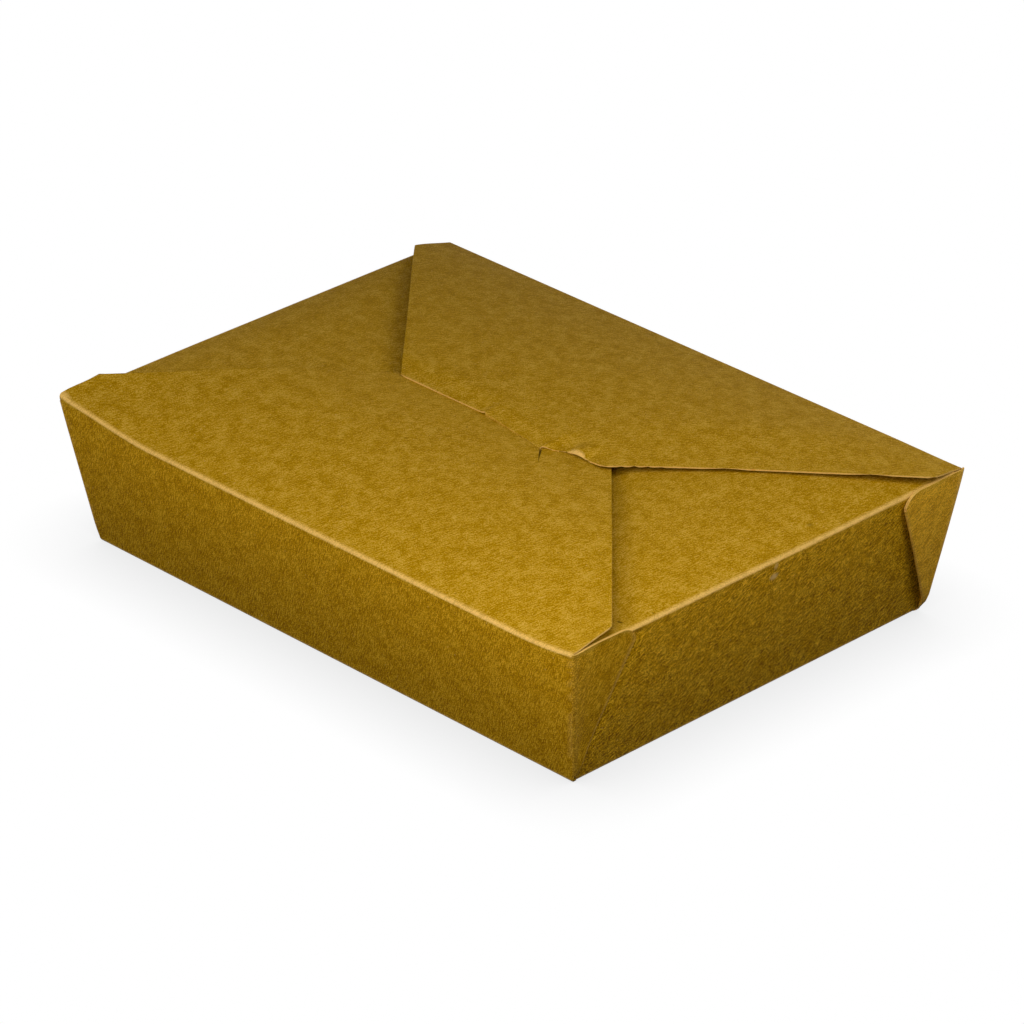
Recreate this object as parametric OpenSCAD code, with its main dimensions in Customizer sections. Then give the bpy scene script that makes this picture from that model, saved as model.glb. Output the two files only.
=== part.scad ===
// Folding takeaway box of unbleached kraft board: one creased sheet, folded up, with a tongue-locked lid.
// The origin is the middle of the underside. X runs along the long side, Y across it and Z up.
// The near long side faces -Y, and the lid flap hinges on the far rim at +Y.

/* [Tray] */
// Length of the base, outside
base_l = 197; // [160:0.5:240]
// Width of the base, outside
base_w = 144.5; // [120:0.5:180]
// Length of the rim, outside the end walls
rim_l = 211; // [205:0.5:260]
// Width of the rim, outside the long walls
rim_w = 161.5; // [150:0.5:200]
// Height of the rim above the table
box_h = 46.5; // [30:0.5:80]

/* [Board] */
// Thickness of the board
board = 0.45; // [0.3:0.05:0.6]
// Outer radius of the creases round the base
base_r = 0.9; // [0.7:0.1:1.6]
// Outer radius of the creases along the rim
fold_r = 1.2; // [0.8:0.1:2]

/* [Lid flap] */
// Height of the closed lid's top above the rim, at the middle of the box
crown = 6.6; // [4:0.1:10]
// Angle at which the lid flap leaves the rim
lid_rise = 12.5; // [8:0.5:18]
// How far the lid flap reaches past the middle of the box
lid_past = 3; // [1:0.5:10]
// Length of the lid flap's free edge
lid_lip = 83.5; // [70:0.5:120]
// Length of the short edges beside the rim, before the long flaps start to narrow
shoulder = 15.4; // [10:0.2:25]

/* [Near flap] */
// How much steeper the near flap leaves the rim than the lid flap does
near_steeper = 1; // [0:0.5:3]
// How far the near flap reaches past the middle of the box
near_past = 3.4; // [1:0.2:10]
// Length of the near flap's free edge
near_lip = 77.5; // [60:0.5:110]

/* [End flaps] */
// How much flatter the end flaps leave the rim than the lid flap does
end_flatter = 0.8; // [0:0.1:3]
// How much lower the end flaps are creased than the long ones that close over them
end_drop = 0.8; // [0.6:0.1:2]
// How far each end flap reaches in past the corner of the lid flap
end_tuck = 4.3; // [1:0.1:12]
// Length over which an end flap narrows at 45 degrees
end_taper = 33; // [30:0.5:45]
// Radius of the end flaps' inner corners
end_corner = 8; // [2:0.5:20]

/* [Lock] */
// Place of the tongue's left end along the lid flap's free edge
tongue_x = -6.4; // [-25:0.2:5]
// Width of the tongue along X
tongue_w = 26.4; // [15:0.2:35]
// How much further the tongue's root reaches at its right end than at its left
tongue_skew = 4; // [0:0.5:6]
// Length of the tongue below the lid
tongue_len = 8.5; // [5:0.5:12]
// Width of the hook that sticks out beside the tongue's root
hook_w = 7; // [4:0.5:10]
// Width of each side of the notch beyond that hook
notch_w = 4; // [2:0.5:6]
// Depth of that notch in the lid flap's edge
notch = 3.6; // [1:0.2:5]
// Length of the cut that runs slantwise from the right end of the slit
cut_len = 8.5; // [4:0.5:14]
// Width of that cut
cut_w = 0.4; // [0.2:0.1:0.8]

/* [Corner webs] */
// Width of a folded web along the rim, before its corner is rounded
web_w = 27.6; // [18:0.2:40]
// Radius of the web's rounded corner
web_r = 5; // [2:0.5:10]
// Angle by which the web stands off the end wall
web_lift = 3; // [0.5:0.5:8]

/* [Clearances] */
// Gap between flaps that lie on each other
lap_gap = 0.3; // [0.2:0.05:0.8]
// Gap round the tongue in its slit
slit_gap = 0.4; // [0.3:0.05:0.8]
// Gap between the lid flap's crease and what it swings past
hinge_gap = 0.3; // [0.2:0.05:0.6]

/* [Hidden] */
kraft = "#a8802a";

// Leans of the walls from upright, and their lengths down the slope
long_lean = atan((rim_w - base_w) / 2 / box_h);
end_lean = atan((rim_l - base_l) / 2 / box_h);
long_slope = box_h / cos(long_lean);
end_slope = box_h / cos(end_lean);

// Steps in which arcs are drawn
fold_steps = 8;
bow_steps = 24;
corner_steps = 6;

// Radii that take the sharpness off the cut corners
shoulder_r = 1;
lip_r = 2;
notch_r = 1.5;
tongue_r = 3;

// A short run of wall that a flap's crease starts with, so that it is one with the wall
root_run = 0.6;

// Left-hand side of a heading, and the heading itself
function ahead(a) = [cos(a), sin(a)];
function left(a) = [-sin(a), cos(a)];

// How far a crease starts before the sharp corner that it rounds
function setback(r, turn) = r * tan(turn / 2);

// One face of a bent strip of board: from p, heading a, along runs that are [0, length] for a straight
// and [radius, turn] for a bend, with the steps of each bend. The face lies inset to the left of the outer one.
function face(p, a, runs, inset, i = 0) =
    i == len(runs) ? [p + inset * left(a)] :
    let (r = runs[i][0], m = runs[i][1])
    r == 0
    ? concat([p + inset * left(a)], face(p + m * ahead(a), a, runs, inset, i + 1))
    : let (c = p + r * left(a), n = runs[i][2])
      concat([for (k = [0 : n - 1]) c - (r - inset) * left(a + m * k / n)],
             face(c - r * left(a + m), a + m, runs, inset, i + 1));

function reversed(list) = [for (i = [len(list) - 1 : -1 : 0]) list[i]];
function unit(v) = v / norm(v);

// Outline with its corners rounded: each point is [x, y, radius]
function rounded(pts) = [
    for (i = [0 : len(pts) - 1])
        let (q = pts[i], p = [q[0], q[1]], r = q[2], n = len(pts),
             b = pts[(i + n - 1) % n], f = pts[(i + 1) % n],
             back = unit([b[0], b[1]] - p), front = unit([f[0], f[1]] - p))
        each r == 0 ? [p] :
            let (half = acos(back * front) / 2,
                 c = p + unit(back + front) * r / sin(half),
                 u = unit(p + back * r / tan(half) - c),
                 w = unit(p + front * r / tan(half) - c))
            [for (k = [0 : corner_steps])
                let (t = k / corner_steps, s = acos(u * w))
                c + r * (u * sin((1 - t) * s) + w * sin(t * s)) / sin(s)]
];

// Bow of a flap that leaves its crease, on a wall of this lean, at angle rise and passes height h at distance d
// from the rim: [radius, rise, set-back of the crease]. Heights are above the rim that the flap is creased on.
function bow(d, h, rise, lean) =
    let (back = setback(fold_r, 90 + lean - rise),
         chord = [d - back * cos(rise), h - back * sin(rise)])
    [norm(chord) / 2 / sin(rise - atan2(chord[1], chord[0])), rise, back];
// Height of such a flap at distance d from the rim
function bow_height(b, d) =
    b[2] * sin(b[1]) - b[0] * cos(b[1]) + sqrt(pow(b[0], 2) - pow(d - b[2] * cos(b[1]) - b[0] * sin(b[1]), 2));
// Turn of such a flap by the time it has reached distance d
function bow_turn(b, d) = b[1] - asin(sin(b[1]) - (d - b[2] * cos(b[1])) / b[0]);

// Lid flap: crown at the middle, and the height where the tongue's root reaches furthest
lid_depth = rim_w / 2 + lid_past;
lid_bow = bow(rim_w / 2, crown, lid_rise, long_lean);
root_depth = lid_depth + tongue_skew;
root_h = bow_height(lid_bow, root_depth);

// Near flap: it passes just under the lid flap there
near_depth = rim_w / 2 + near_past;
near_bow = bow(rim_w - root_depth, root_h - board - lap_gap, lid_rise + near_steeper, long_lean);
near_edge_h = bow_height(near_bow, near_depth);

// End flaps: their inner edges pass just under the near flap's free edge
end_depth = (rim_l - lid_lip) / 2 + end_tuck;
end_bow = bow(end_depth, near_edge_h - board - lap_gap + end_drop, lid_rise - end_flatter, end_lean);
end_x = rim_l / 2 - end_drop * tan(end_lean);

// Root of the tongue, from its left end to its right end, in plan
root_a = [tongue_x, -lid_past];
root_b = [tongue_x + tongue_w, rim_w / 2 - root_depth];
root_len = norm(root_b - root_a);
root_turn = atan2(root_b[1] - root_a[1], root_b[0] - root_a[0]);

// The lid's crease swings within this distance of the hinge line
hinge_r = norm([lid_bow[2], board]) + hinge_gap;

// How far the prisms that trim a strip reach past it
over = 20;

module along_x(length) rotate([90, 0, 90]) linear_extrude(length, center = true) children();
module along_y(length) rotate([90, 0, 0]) linear_extrude(length, center = true) children();

// Section of a strip of board, folded and bowed
module strip(start, heading, runs) {
    outer = face(start, heading, runs, 0);
    inner = face(start, heading, runs, board);
    polygon(concat(outer, reversed(inner)));
}

// Section of a wall: a crease at the base and the slope up to the crease at the rim
module wall_strip(base_half, lean, slope, top) {
    turn = 90 - lean;
    foot = setback(base_r, turn);
    strip([base_half - foot - root_run, 0], 0,
          [[0, root_run], [base_r, turn, fold_steps], [0, slope - foot - top]]);
}

// Section of a flap: the crease at the rim and the bowed board, out to distance reach from the rim
module flap_strip(rim, lean, bow, reach, run) {
    strip(rim - (bow[2] + run) * ahead(90 - lean), 90 - lean,
          [[0, run], [fold_r, 90 + lean - bow[1], fold_steps], [bow[0], bow_turn(bow, reach), bow_steps]]);
}

// Outer outline of the tray across one of its widths, rounded at the base and upright above the rim
module cup(base_half, rim_half) {
    polygon(rounded([
        [base_half, 0, base_r], [rim_half, box_h, 0], [rim_half, box_h + over, 0],
        [-rim_half, box_h + over, 0], [-rim_half, box_h, 0], [-base_half, 0, base_r]]));
}

module between_ends() along_y(rim_w + over) cup(base_l / 2, rim_l / 2);
module between_sides() along_x(rim_l + over) cup(base_w / 2, rim_w / 2);

module base() {
    linear_extrude(board)
        square([base_l - 2 * base_r, base_w - 2 * base_r], center = true);
}

// A long wall, on the +Y side
module long_wall(top) {
    intersection() {
        along_x(rim_l + over) wall_strip(base_w / 2, long_lean, long_slope, top);
        between_ends();
    }
}

// An end wall with its flap, on the +X side
module end_side() {
    top = end_drop / cos(end_lean) + end_bow[2];
    intersection() {
        along_y(rim_w + over) wall_strip(base_l / 2, end_lean, end_slope, top);
        between_sides();
    }
    intersection() {
        along_y(rim_w + over)
            flap_strip([end_x, box_h - end_drop], end_lean, end_bow, end_depth + over, root_run);
        between_sides();
        translate([rim_l / 2, 0, box_h - over])
            linear_extrude(2 * over)
                polygon(rounded([
                    [over, -rim_w / 2, 0], [over, rim_w / 2, 0], [-fold_r, rim_w / 2, 0],
                    [-end_taper, rim_w / 2 - end_taper, end_corner],
                    [-end_depth, rim_w / 2 - end_taper, end_corner],
                    [-end_depth, end_taper - rim_w / 2, end_corner],
                    [-end_taper, end_taper - rim_w / 2, end_corner],
                    [-fold_r, -rim_w / 2, 0]]));
    }
}

// Slit that takes the tongue, and the slanting cut at its right end, in plan
module slit() {
    translate(root_a)
        rotate(root_turn)
            translate([-slit_gap, -slit_gap])
                square([root_len + 2 * slit_gap, board + 2 * slit_gap]);
    translate(root_b)
        rotate(-45)
            translate([0, -cut_w])
                square([cut_len, cut_w]);
}

// The near flap, with the slit
module near_flap() {
    corner_x = near_lip / 2;
    difference() {
        intersection() {
            mirror([0, 1, 0])
                along_x(rim_l)
                    flap_strip([rim_w / 2, box_h], long_lean, near_bow, near_depth + over, root_run);
            between_ends();
            translate([0, -rim_w / 2, box_h - over])
                linear_extrude(2 * over)
                    polygon(rounded([
                        [-rim_l / 2, -over, 0], [rim_l / 2, -over, 0], [rim_l / 2, shoulder, shoulder_r],
                        [corner_x, near_depth, lip_r], [-corner_x, near_depth, lip_r],
                        [-rim_l / 2, shoulder, shoulder_r]]));
        }
        translate([0, 0, box_h])
            linear_extrude(over)
                slit();
    }
}

// A folded corner web on the outside of the end wall, at the corner at +X and +Y
module web() {
    layers = 2 * board;
    corner_lean = atan((rim_w - base_w) / 2 / end_slope);
    corner_len = norm([(rim_w - base_w) / 2, end_slope]);
    web_top = end_drop / cos(end_lean);
    foot_x = -(rim_w - base_w) / 2;
    fold_lean = atan((web_w + foot_x) / (end_slope - web_top));
    fold_len = norm([web_w + foot_x, end_slope - web_top]) - web_r - layers;
    intersection() {
        translate([rim_l / 2, rim_w / 2, box_h])
            rotate([0, end_lean, 0])
                rotate([90, 0, 90])
                    rotate([0, 0, -corner_lean]) {
                        translate([-layers, -corner_len, 0])
                            rotate([-90, 0, 0])
                                cylinder(r = layers, h = corner_len - web_top, $fn = 32);
                        translate([-layers, 0, 0])
                            rotate([0, web_lift, 0])
                                translate([layers, 0, 0])
                                    rotate([0, 0, corner_lean]) {
                                        linear_extrude(layers)
                                            polygon(rounded([
                                                [-layers - web_top * tan(corner_lean), -web_top, 0],
                                                [-web_w, -web_top, web_r],
                                                [foot_x - layers, -end_slope, 0]]));
                                        translate([foot_x - layers, -end_slope, board])
                                            rotate([0, 0, fold_lean])
                                                rotate([-90, 0, 0])
                                                    cylinder(r = board, h = fold_len, $fn = 24);
                                    }
                    }
        translate([0, 0, box_h / 2])
            cube([rim_l + over, rim_w + over, box_h], center = true);
    }
}

// Everything that the lid's crease swings past along the far rim
module hinge_sweep() {
    translate([0, rim_w / 2, box_h])
        rotate([0, 90, 0])
            cylinder(r = hinge_r, h = rim_l + over, center = true, $fn = 48);
}

module box() {
    color(kraft)
    difference() {
        union() {
            base();
            long_wall(0);
            mirror([0, 1, 0])
                long_wall(near_bow[2]);
            near_flap();
            for (end = [0, 1]) {
                mirror([end, 0, 0]) {
                    end_side();
                    for (side = [0, 1]) {
                        mirror([0, side, 0])
                            web();
                    }
                }
            }
        }
        hinge_sweep();
    }
}

// The lid flap's outline in plan, from the hinge line at 0 out to its free edge at -lid_depth
module lid_outline() {
    tip = -lid_depth;
    hook_x = root_b[0] + hook_w;
    polygon(rounded([
        [-rim_l / 2, over, 0], [rim_l / 2, over, 0], [rim_l / 2, -shoulder, shoulder_r],
        [lid_lip / 2, tip, lip_r], [hook_x + 2 * notch_w, tip, notch_r],
        [hook_x + notch_w, tip + notch, notch_r], [hook_x, tip, notch_r],
        [root_b[0], -root_depth, 0], [root_a[0], tip, 0],
        [-lid_lip / 2, tip, lip_r], [-rim_l / 2, -shoulder, shoulder_r]]));
}

// The tongue, turned down from its root through the slit
module tongue() {
    top_a = box_h - board / 2 + bow_height(lid_bow, lid_depth - board);
    top_b = box_h - board / 2 + bow_height(lid_bow, root_depth - board);
    translate([root_a[0], root_a[1], 0])
        rotate([0, 0, root_turn])
            translate([0, board, 0])
                rotate([90, 0, 0])
                    linear_extrude(board)
                        polygon(rounded([
                            [0, top_a, 0], [0, top_a - tongue_len, tongue_r],
                            [root_len, top_b - tongue_len, tongue_r], [root_len, top_b, 0]]));
}

module lid_flap() {
    color(kraft)
    union() {
        intersection() {
            along_x(rim_l)
                flap_strip([rim_w / 2, box_h], long_lean, lid_bow, lid_depth + over, 0);
            translate([0, rim_w / 2, box_h - over])
                linear_extrude(2 * over)
                    lid_outline();
        }
        tongue();
    }
}

box();
lid_flap();
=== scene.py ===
# %% [markdown]
# # A folded takeaway box of kraft board
# The real box is one sheet of unbleached kraft board. It is cut and creased flat, folded up, and closed with a
# tongue that is pushed into a slit. In this lesson each panel is cut flat, ruled with a knife, and then folded by
# one function per crease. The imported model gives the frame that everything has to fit.

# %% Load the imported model
import math

import bmesh
import bpy
from mathutils import Matrix, Vector, noise
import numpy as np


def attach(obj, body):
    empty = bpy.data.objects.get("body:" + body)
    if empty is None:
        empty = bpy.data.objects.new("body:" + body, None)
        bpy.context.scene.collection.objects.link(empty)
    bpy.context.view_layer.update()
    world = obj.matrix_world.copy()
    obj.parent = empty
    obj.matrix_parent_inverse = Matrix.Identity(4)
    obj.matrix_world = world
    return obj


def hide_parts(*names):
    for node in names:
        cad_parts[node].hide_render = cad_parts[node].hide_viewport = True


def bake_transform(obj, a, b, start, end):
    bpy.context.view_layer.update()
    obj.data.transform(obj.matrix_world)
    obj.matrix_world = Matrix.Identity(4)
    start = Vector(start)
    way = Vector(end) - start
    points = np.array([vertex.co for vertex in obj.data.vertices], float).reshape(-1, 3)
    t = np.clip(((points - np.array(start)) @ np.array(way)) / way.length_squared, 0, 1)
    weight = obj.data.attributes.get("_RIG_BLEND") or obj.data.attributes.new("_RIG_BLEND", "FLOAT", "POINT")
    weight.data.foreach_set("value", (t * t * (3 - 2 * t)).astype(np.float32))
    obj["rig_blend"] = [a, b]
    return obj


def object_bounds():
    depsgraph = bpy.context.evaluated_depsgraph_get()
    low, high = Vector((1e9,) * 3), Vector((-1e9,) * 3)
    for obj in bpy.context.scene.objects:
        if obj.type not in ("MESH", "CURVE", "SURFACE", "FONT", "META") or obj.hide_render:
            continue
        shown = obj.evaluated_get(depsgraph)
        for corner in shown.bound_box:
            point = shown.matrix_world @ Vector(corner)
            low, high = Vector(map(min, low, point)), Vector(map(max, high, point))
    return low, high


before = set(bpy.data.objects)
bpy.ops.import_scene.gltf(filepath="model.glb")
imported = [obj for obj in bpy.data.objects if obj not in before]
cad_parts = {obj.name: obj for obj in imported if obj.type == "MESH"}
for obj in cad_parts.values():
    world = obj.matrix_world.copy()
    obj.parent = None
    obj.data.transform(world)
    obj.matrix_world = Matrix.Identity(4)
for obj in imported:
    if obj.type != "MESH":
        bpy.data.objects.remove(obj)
cad_low, cad_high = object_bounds()
print("Size of the packed box in millimetres:", [round(1000 * s, 2) for s in cad_high - cad_low])

# %% [markdown]
# ## The camera
# The photograph was taken with a long lens from a little above the box, towards its near right corner. A camera
# can be put there by its compass angle, its height angle and its distance, which keeps the three easy to read.
# The slight roll is the photographer's.

# %% Camera
def new_object(name, data):
    """An object in the scene that carries this mesh, camera or lamp."""
    made = bpy.data.objects.new(name, data)
    bpy.context.scene.collection.objects.link(made)
    return made


def stand_and_aim(thing, place, turn):
    """Puts a camera or lamp in its place, turned by a quaternion."""
    thing.location = place
    thing.rotation_mode = "QUATERNION"
    thing.rotation_quaternion = turn


MM = 0.001
CAMERA_COMPASS = math.radians(44.655)
CAMERA_HEIGHT = math.radians(27.78)
CAMERA_ROLL = math.radians(0.803)
CAMERA_DISTANCE = 1668.8 * MM
CAMERA_TARGET = Vector((4.293, -2.131, 23.25)) * MM
FOCAL_PIXELS = 5696.5
IMAGE_PIXELS = 1024
SENSOR = 36.0

back = Vector((math.sin(CAMERA_COMPASS) * math.cos(CAMERA_HEIGHT),
               -math.cos(CAMERA_COMPASS) * math.cos(CAMERA_HEIGHT),
               math.sin(CAMERA_HEIGHT)))
camera = new_object("camera", bpy.data.cameras.new("camera"))
camera.data.sensor_width = SENSOR
camera.data.lens = FOCAL_PIXELS / IMAGE_PIXELS * SENSOR
camera.data.clip_start, camera.data.clip_end = 0.1, 20
stand_and_aim(camera, CAMERA_TARGET + back * CAMERA_DISTANCE,
              (-back).to_track_quat("-Z", "Y") @ Matrix.Rotation(CAMERA_ROLL, 3, "Z").to_quaternion())
bpy.context.scene.camera = camera
print("Lens in millimetres:", round(camera.data.lens, 1))

# %% [markdown]
# ## Sizes of the fold
# A folded box is set by few sizes: its base, its rim, its height and the thickness of its board. The walls lean
# out from the base to the rim, and every crease is a small arc, because board can't be folded sharp. The flaps
# spring up against each other, so each is bowed along a wide arc. All sizes are in millimetres until the end.

# %% Driving sizes, in millimetres
BASE_L, BASE_W = 197.0, 144.5
RIM_L, RIM_W, BOX_H = 211.0, 161.5, 46.5
BOARD = 0.45
BASE_R, FOLD_R = 0.9, 1.2
LONG_LEAN = math.atan((RIM_W - BASE_W) / 2 / BOX_H)
END_LEAN = math.atan((RIM_L - BASE_L) / 2 / BOX_H)
END_DROP = 0.8
print("Walls lean", round(math.degrees(LONG_LEAN), 2), "and", round(math.degrees(END_LEAN), 2), "degrees")


def set_back(radius, turn):
    """How far a rounded crease starts before the sharp corner."""
    return radius * math.tan(turn / 2)


def bow(distance, height, rise, lean):
    """Arc of a flap that leaves its crease at angle rise: its radius, that angle and the crease's set-back."""
    start = set_back(FOLD_R, math.pi / 2 + lean - rise)
    across, up = distance - start * math.cos(rise), height - start * math.sin(rise)
    return math.hypot(across, up) / 2 / math.sin(rise - math.atan2(up, across)), rise, start


def bow_height(arc, distance):
    """Height of a bowed flap above its rim."""
    radius, rise, start = arc
    run = distance - start * math.cos(rise) - radius * math.sin(rise)
    return start * math.sin(rise) - radius * math.cos(rise) + math.sqrt(radius ** 2 - run ** 2)


def reach(base_half, lean, z):
    """How far out a wall's outer face stands at height z, round the crease at its foot."""
    turn = math.pi / 2 - lean
    if z < BASE_R * (1 - math.cos(turn)):
        swing = math.acos(1 - z / BASE_R)
        return base_half - set_back(BASE_R, turn) + BASE_R * math.sin(swing)
    return base_half + z * math.tan(lean)


def follow(start, runs, distance):
    """Point at a distance along a bent strip: its runs are (0, length) for a straight, (radius, turn) for a bend."""
    point, heading = Vector(start), 0.0
    for radius, amount in runs:
        step = min(distance, amount if radius == 0 else radius * amount)
        distance -= step
        if radius == 0:
            point = point + step * Vector((math.cos(heading), math.sin(heading)))
        else:
            centre = point + radius * Vector((-math.sin(heading), math.cos(heading)))
            heading += step / radius
            point = centre - radius * Vector((-math.sin(heading), math.cos(heading)))
        if distance <= 0:
            break
    return point


# %% Bows of the flaps
LID_RISE = math.radians(12.5)
CROWN = 6.6
LID_PAST, TONGUE_SKEW = 3.0, 4.0
LID_DEPTH = RIM_W / 2 + LID_PAST
ROOT_DEPTH = LID_DEPTH + TONGUE_SKEW
LAP = BOARD + 0.3
lid_bow = bow(RIM_W / 2, CROWN, LID_RISE, LONG_LEAN)
root_height = bow_height(lid_bow, ROOT_DEPTH)
NEAR_PAST, NEAR_EXTRA_RISE = 3.4, math.radians(1)
NEAR_DEPTH = RIM_W / 2 + NEAR_PAST
near_bow = bow(RIM_W - ROOT_DEPTH, root_height - LAP, LID_RISE + NEAR_EXTRA_RISE, LONG_LEAN)
LID_LIP, END_UNDER, END_LESS_RISE = 83.5 / 2, 4.3, math.radians(0.8)
END_DEPTH = RIM_L / 2 - LID_LIP + END_UNDER
end_bow = bow(END_DEPTH, bow_height(near_bow, NEAR_DEPTH) - LAP + END_DROP, LID_RISE - END_LESS_RISE, END_LEAN)
END_X = RIM_L / 2 - END_DROP * math.tan(END_LEAN)
for flap, arc in (("lid flap", lid_bow), ("near flap", near_bow), ("end flaps", end_bow)):
    print(f"The {flap} bows on a radius of {arc[0]:.0f} mm")

# %% [markdown]
# ## Panels from grids
# A wall is a ruled strip: it has its columns across and its rows along the path from the base, round the crease,
# up the slope and round the crease at the rim. `create_grid` makes the sheet, and a function folds it by giving
# each point its place. Every point also keeps its place on the flat blank, which later steers the fibres of the
# board, and a number that says how much its crease is worn.

# %% A panel folded from a grid
COLUMN_STEPS, CROSS_STEPS = 84, 64
WELD_REACH = 0.002
COLUMNS = [2 * i / COLUMN_STEPS - 1 for i in range(COLUMN_STEPS + 1)]
CROSSINGS = [2 * i / CROSS_STEPS - 1 for i in range(CROSS_STEPS + 1)]


def new_sheet():
    """An empty bmesh with a layer for the flat blank and one for the wear of creases."""
    sheet = bmesh.new()
    sheet.verts.layers.float_vector.new("blank")
    sheet.verts.layers.float.new("wear")
    return sheet


def layers_of(sheet):
    """The layers of a sheet that hold the flat blank and the wear of creases."""
    return sheet.verts.layers.float_vector["blank"], sheet.verts.layers.float["wear"]


def faces_at(verts):
    """All faces that meet at these vertices."""
    return list({face for vert in verts for face in vert.link_faces})


def panel(sheet, columns, rows, fold, outward):
    """Grid of board: fold gives a point's place, its place on the blank and its wear from its column and row.
    outward is roughly where its outer side looks, or None if that is seen to later."""
    blank, wear = layers_of(sheet)
    nx, ny = len(columns) - 1, len(rows) - 1
    verts = bmesh.ops.create_grid(sheet, x_segments=nx, y_segments=ny, size=0.5)["verts"]
    for vert in verts:
        i, j = round((vert.co.x + 0.5) * nx), round((vert.co.y + 0.5) * ny)
        place, flat, worn = fold(columns[i], rows[j])
        vert.co = place
        vert[blank] = (flat[0], flat[1], 0)
        vert[wear] = worn
    if outward is not None:
        faces = faces_at(verts)
        for face in faces:
            face.normal_update()
        if sum((face.normal for face in faces), Vector()).dot(Vector(outward)) < 0:
            bmesh.ops.reverse_faces(sheet, faces=faces)
    return verts


def weld(sheet, *groups):
    """Joins panels along the creases that they share."""
    verts = [vert for group in groups for vert in group if vert.is_valid]
    bmesh.ops.remove_doubles(sheet, verts=verts, dist=WELD_REACH)


# %% Stations along a side, from the base to the end of the crease at the rim
WEAR_MARGIN = 0.5
NEAR_RIM = 6.5
FOOT_STEPS, WALL_STEPS, RIM_STEPS = 5, 16, 10
FOOT_WEAR = 0.45
CREASE_WEAR = (0.0, 0.4, 0.95, 1.1, 1.1, 1.0, 0.75, 0.5, 0.3)


def stations(foot_len, slope_len, crease_len):
    """Distances along a side at which its panel is ruled, and the wear of the crease at each."""
    top = foot_len + slope_len
    rows = [(foot_len * i / FOOT_STEPS, FOOT_WEAR) for i in range(FOOT_STEPS + 1)]
    rows.append((foot_len + WEAR_MARGIN, 0.0))
    inner = slope_len - WEAR_MARGIN - NEAR_RIM
    rows += [(foot_len + WEAR_MARGIN + inner * i / WALL_STEPS, 0.0) for i in range(1, WALL_STEPS + 1)]
    rows += [(top - NEAR_RIM * (1 - i / RIM_STEPS), 0.0) for i in range(1, RIM_STEPS)]
    last = len(CREASE_WEAR) - 1
    rows += [(top + crease_len * i / last, worn) for i, worn in enumerate(CREASE_WEAR)]
    return rows


def side(base_half, lean, drop, arc):
    """Start, runs and stations of a side of the tray."""
    foot = set_back(BASE_R, math.pi / 2 - lean)
    slope = BOX_H / math.cos(lean) - foot - drop / math.cos(lean) - arc[2]
    crease_turn = math.pi / 2 + lean - arc[1]
    runs = [(BASE_R, math.pi / 2 - lean), (0, slope), (FOLD_R, crease_turn)]
    return (base_half - foot, 0.0), runs, stations(BASE_R * (math.pi / 2 - lean), slope, FOLD_R * crease_turn)


near_start, near_runs, near_rows = side(BASE_W / 2, LONG_LEAN, 0, near_bow)
far_start, far_runs, far_rows = side(BASE_W / 2, LONG_LEAN, 0, lid_bow)
end_start, end_runs, end_rows = side(BASE_L / 2, END_LEAN, END_DROP, end_bow)
CREASE_ROWS = len(CREASE_WEAR)
print("Each wall is ruled at", len(near_rows), "stations")


# %% [markdown]
# ## Flaps cut from an outline
# A flap has slanted sides and rounded corners, which a grid can't follow. So a flap starts as one flat face with
# the few corners that its outline has. A bevel of single vertices rounds them, and `bisect_plane` then rules the
# face with lines, like a knife and a straight edge, until it is fine enough to be bowed.

# %% A flap cut flat and ruled
BEVEL_STEPS = 6
# Spacing of the ruled lines: over the open flap, and finer near the lock, where the board is bent more.
RULE, NEAR_LOCK_RULE, LID_LOCK_RULE, LOCK_RULE_ACROSS = 2.5, 1.3, 0.95, 1.1


def cut_flap(sheet, outline, across, down):
    """Flat flap: outline lists (x, y, corner radius), and across and down are the places of the ruled lines."""
    verts = [sheet.verts.new((x, y, 0)) for x, y, _ in outline]
    sheet.faces.new(verts)
    count = len(outline)
    corners = []
    for i, (x, y, radius) in enumerate(outline):
        if radius:
            a = (verts[i - 1].co - verts[i].co).angle(verts[(i + 1) % count].co - verts[i].co)
            corners.append((verts[i], radius / math.tan(a / 2)))
    for vert, offset in corners:
        bmesh.ops.bevel(sheet, geom=[vert], offset=offset, offset_type="OFFSET", segments=BEVEL_STEPS,
                        profile=0.5, affect="VERTICES", material=-1)
    face = next(vert for vert in verts if vert.is_valid).link_faces[0]
    geom = [face, *face.edges, *face.verts]
    for axis, places in ((0, across), (1, down)):
        normal = Vector((1 - axis, axis, 0))
        for place in places:
            geom = bmesh.ops.bisect_plane(sheet, geom=geom, plane_co=normal * place, plane_no=normal,
                                          dist=0.001)["geom"]
    return geom


def verts_of(geom):
    """The vertices in a list of mesh parts."""
    return [part for part in geom if isinstance(part, bmesh.types.BMVert) and part.is_valid]


def faces_of(geom):
    """The faces in a list of mesh parts."""
    return [part for part in geom if isinstance(part, bmesh.types.BMFace) and part.is_valid]


def turn_up(geom):
    """Turns the faces of a flap so that they look up."""
    for face in faces_of(geom):
        face.normal_update()
        if face.normal.z < 0:
            face.normal_flip()


def root_wear(depth, root):
    """Wear of a flap where it leaves its crease, fading out within the margin."""
    return CREASE_WEAR[-1] * (1.0 - ease(depth, root, root + WEAR_MARGIN))


def left_of(along):
    """Direction to the left of another in the flat sheet."""
    return Vector((-along.y, along.x, 0))


def ease(value, low, high):
    """Smooth step from 0 at low to 1 at high."""
    t = min(1, max(0, (value - low) / (high - low)))
    return t * t * (3 - 2 * t)


def lines(low, high, step):
    """Evenly spaced places between low and high."""
    count = max(1, round((high - low) / step))
    return [low + (high - low) * i / count for i in range(1, count)]


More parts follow.
